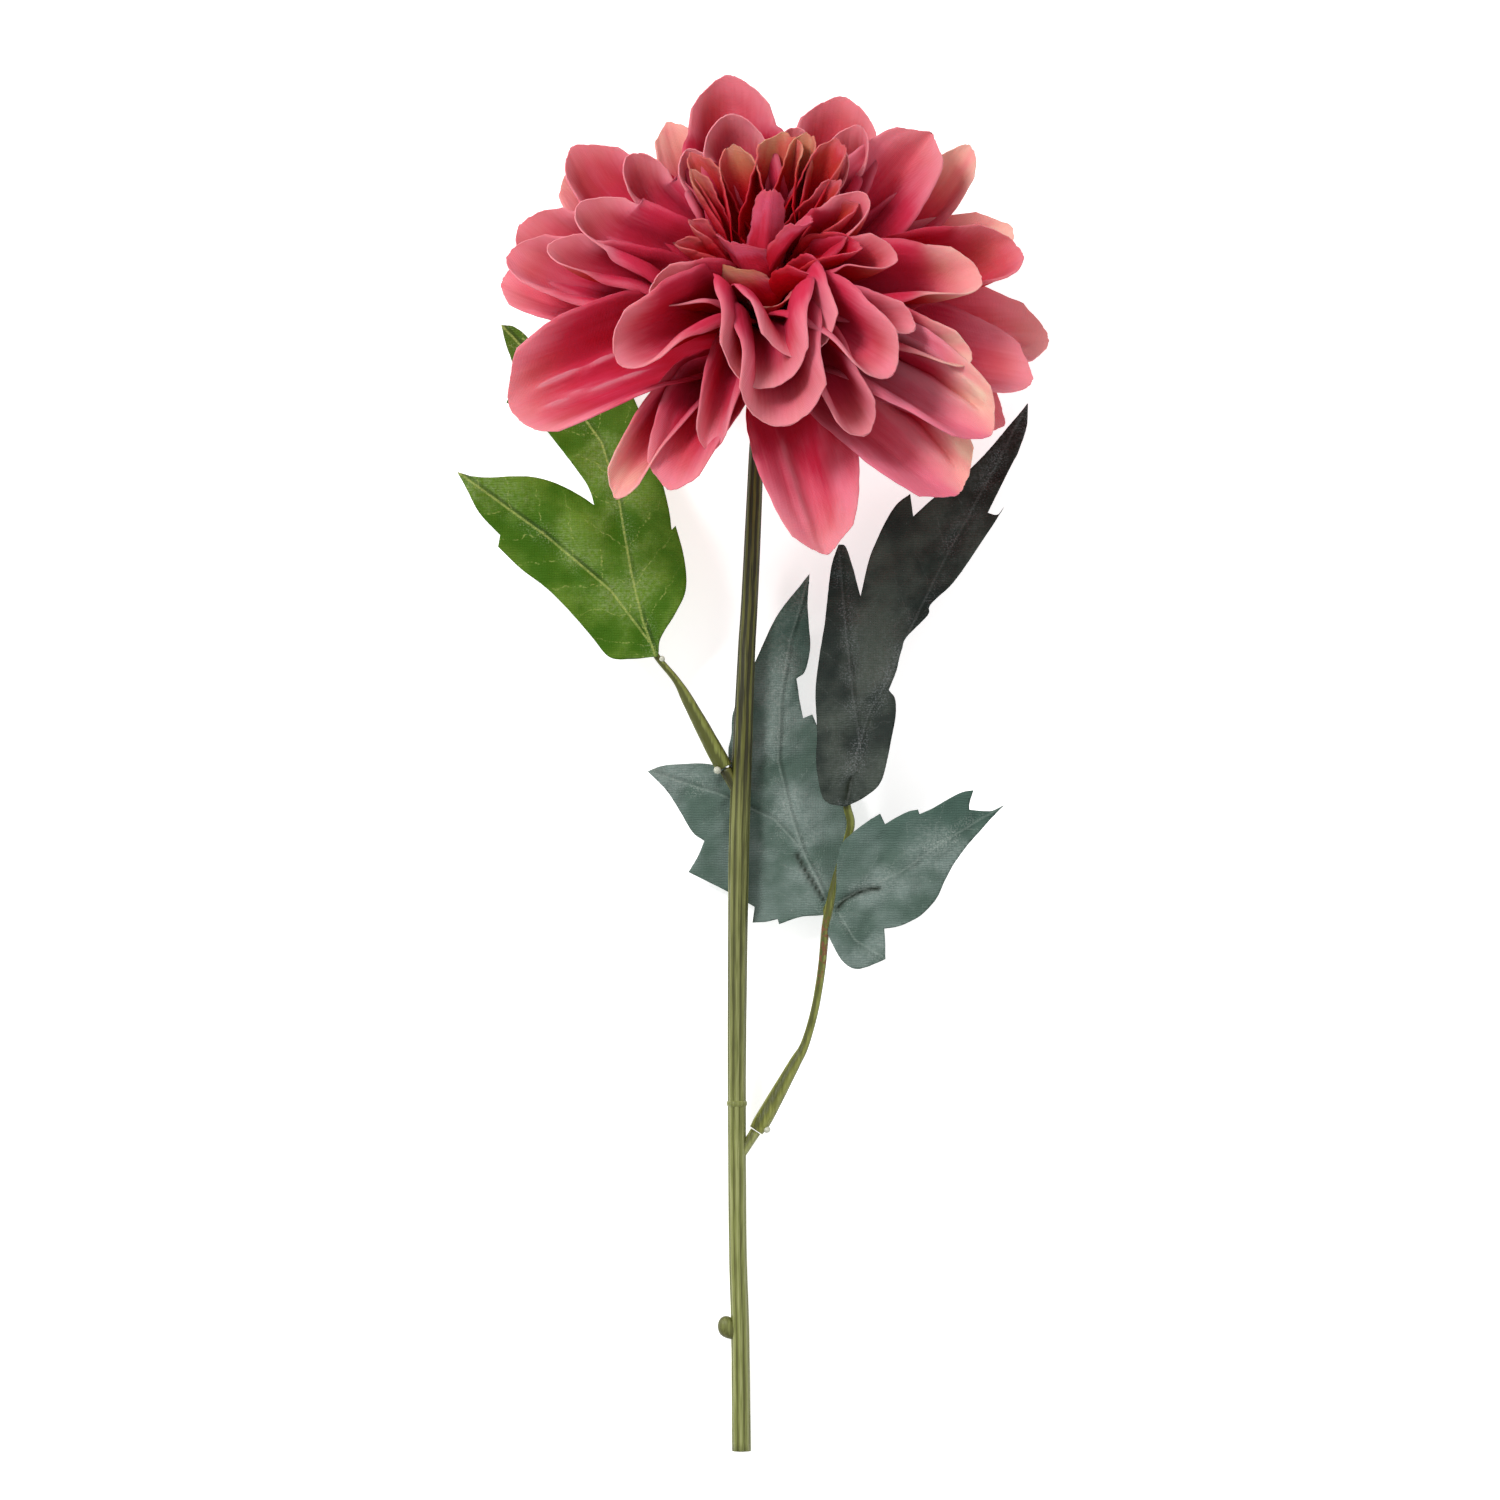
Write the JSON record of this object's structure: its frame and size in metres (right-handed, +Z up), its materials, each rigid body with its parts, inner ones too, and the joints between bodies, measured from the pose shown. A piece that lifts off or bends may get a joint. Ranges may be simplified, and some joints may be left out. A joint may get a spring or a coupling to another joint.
{
  "type": "artificial zinnia stem",
  "caption": "Artificial zinnia stem lying down: a full pink bloom of cupped petals on a ribbed stem, with cut fabric leaves on side stalks.",
  "frame": {"origin": "centre of the bounding box at its base, on the surface that the stem lies on", "axes": "+Y along the stem from its cut end to the bloom, +Z up from the surface, +X to the right seen from above with the bloom away"},
  "size_m": [0.1778, 0.4106, 0.1113],
  "materials": {
    "stem": "satin moulded polyethylene, olive green, ribbed lengthwise",
    "stalk": "satin moulded polyethylene, olive green",
    "calyx": "satin moulded polyethylene, green",
    "leaf_green": "printed and pressed polyester weave, mid green with paler veins",
    "leaf_grey": "printed and pressed polyester weave, grey green",
    "leaf_slate": "printed and pressed polyester weave, dark slate turning brown at the tip",
    "petal": "dyed and heat-pressed polyester, crimson at the base to pale pink and cream at the edges"
  },
  "bodies": {
    "root": {"stem": "stem", "stalk_left": "stalk", "stalk_right": "stalk", "calyx": "calyx", "leaf_left": "leaf_green", "leaf_behind": "leaf_grey", "leaf_dark": "leaf_slate", "leaf_right": "leaf_grey", "bloom": "petal"}
  },
  "joints": []
}
